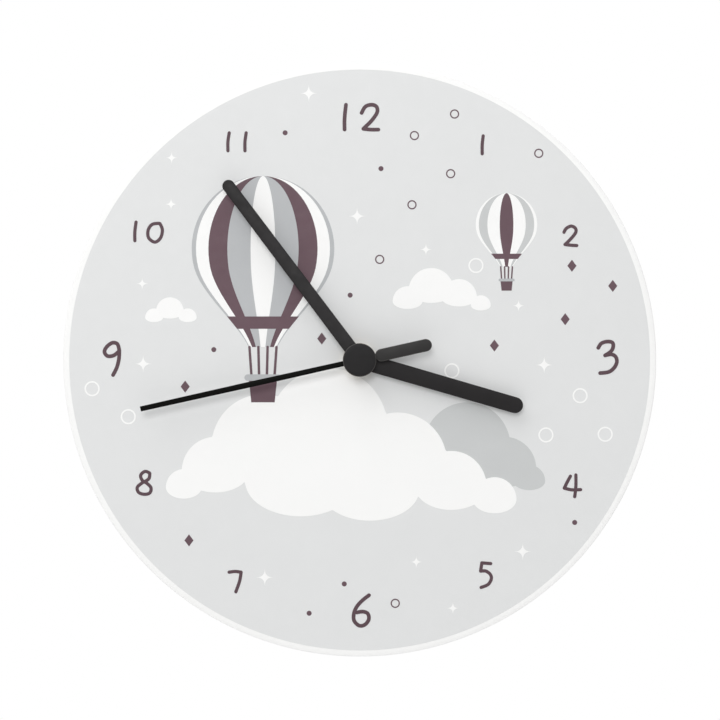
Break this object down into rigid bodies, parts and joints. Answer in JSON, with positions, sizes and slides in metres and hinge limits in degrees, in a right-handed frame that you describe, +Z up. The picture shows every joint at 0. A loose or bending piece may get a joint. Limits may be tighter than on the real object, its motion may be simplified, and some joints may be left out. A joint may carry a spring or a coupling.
{
  "type": "wall clock",
  "caption": "Round flat printed clock with straight hour, minute and second hands on a battery quartz movement with a wall hanger.",
  "frame": {"origin": "on the hands' axis at the back face of the movement, where it lies against the wall", "axes": "+Y into the wall, +Z up towards twelve, +X to the right as seen from the front, so the dial faces -Y"},
  "size_m": [0.2, 0.0301, 0.2],
  "materials": {
    "dial_board": "white board with a printed face",
    "hand_black": "satin black",
    "case_black": "moulded black",
    "brass": "turned",
    "rubber": "matt",
    "steel": "bright",
    "nylon": "natural nylon",
    "magnet": "sintered",
    "copper": "enamelled copper wire",
    "board": "green laminate",
    "chip": "epoxy drop",
    "cell": "plain shrink sleeve on a steel can"
  },
  "bodies": {
    "root": {"dial_panel": "dial_board", "rubber_gasket": "rubber", "brass_washer": "brass", "threaded_bush": "brass", "shaft_nut": "brass", "front_case": "case_black", "rear_cover": "case_black", "train_bridge": "nylon", "stator": "steel", "coil_core": "steel", "coil_bobbin": "nylon", "coil_winding": "copper", "circuit_board": "board", "chip_blob": "chip", "quartz_crystal": "steel", "positive_contact": "steel", "negative_contact": "steel", "hanger": "steel"},
    "battery": {"battery_cell": "cell"},
    "second": {"second_hand": "hand_black", "second_pipe": "brass", "seconds_arbor": "steel", "seconds_wheel": "nylon"},
    "intermediate": {"intermediate_wheel": "nylon"},
    "rotor": {"rotor_arbor": "steel", "rotor_magnet": "magnet"},
    "third": {"third_wheel": "nylon"},
    "centre": {"centre_wheel": "nylon"},
    "minute": {"minute_hand": "hand_black", "cannon_pinion": "nylon", "clutch_spring": "steel"},
    "hour": {"hour_hand": "hand_black", "hour_wheel": "nylon"},
    "minute_work": {"minute_wheel": "nylon"},
    "knob": {"setting_knob": "case_black"}
  },
  "joints": [
    {"name": "second_turn", "type": "hinge", "parent": "root", "child": "second", "pos_m": [0, 0, 0], "axis": [0, 1, 0], "continuous": true},
    {"name": "rotor_turn", "type": "hinge", "parent": "root", "child": "rotor", "pos_m": [0, 0, 0.0134], "axis": [0, 1, 0], "continuous": true},
    {"name": "intermediate_turn", "type": "hinge", "parent": "root", "child": "intermediate", "pos_m": [0, 0, 0.0078], "axis": [0, 1, 0], "continuous": true},
    {"name": "third_turn", "type": "hinge", "parent": "root", "child": "third", "pos_m": [-0.00792, 0, 0], "axis": [0, 1, 0], "continuous": true},
    {"name": "centre_turn", "type": "hinge", "parent": "root", "child": "centre", "pos_m": [0, 0, 0], "axis": [0, 1, 0], "continuous": true},
    {"name": "minute_turn", "type": "hinge", "parent": "root", "child": "minute", "pos_m": [0, 0, 0], "axis": [0, 1, 0], "continuous": true},
    {"name": "hour_turn", "type": "hinge", "parent": "root", "child": "hour", "pos_m": [0, 0, 0], "axis": [0, 1, 0], "continuous": true},
    {"name": "minute_wheel_turn", "type": "hinge", "parent": "root", "child": "minute_work", "pos_m": [0.007, 0, 0], "axis": [0, 1, 0], "continuous": true},
    {"name": "knob_turn", "type": "hinge", "parent": "root", "child": "knob", "pos_m": [0.014, 0, 0], "axis": [0, 1, 0], "continuous": true},
    {"name": "battery_slide", "type": "slide", "parent": "root", "child": "battery", "axis": [0, 1, 0], "range_m": [0, 0.02]}
  ],
  "couplings": [
    {"joint": "rotor_turn", "follows": "second_turn", "ratio": 30},
    {"joint": "intermediate_turn", "follows": "second_turn", "ratio": -5},
    {"joint": "third_turn", "follows": "second_turn", "ratio": -0.13333},
    {"joint": "centre_turn", "follows": "second_turn", "ratio": 0.016667},
    {"joint": "hour_turn", "follows": "minute_turn", "ratio": 0.083333},
    {"joint": "minute_wheel_turn", "follows": "minute_turn", "ratio": -0.33333},
    {"joint": "knob_turn", "follows": "minute_turn", "ratio": 1}
  ]
}
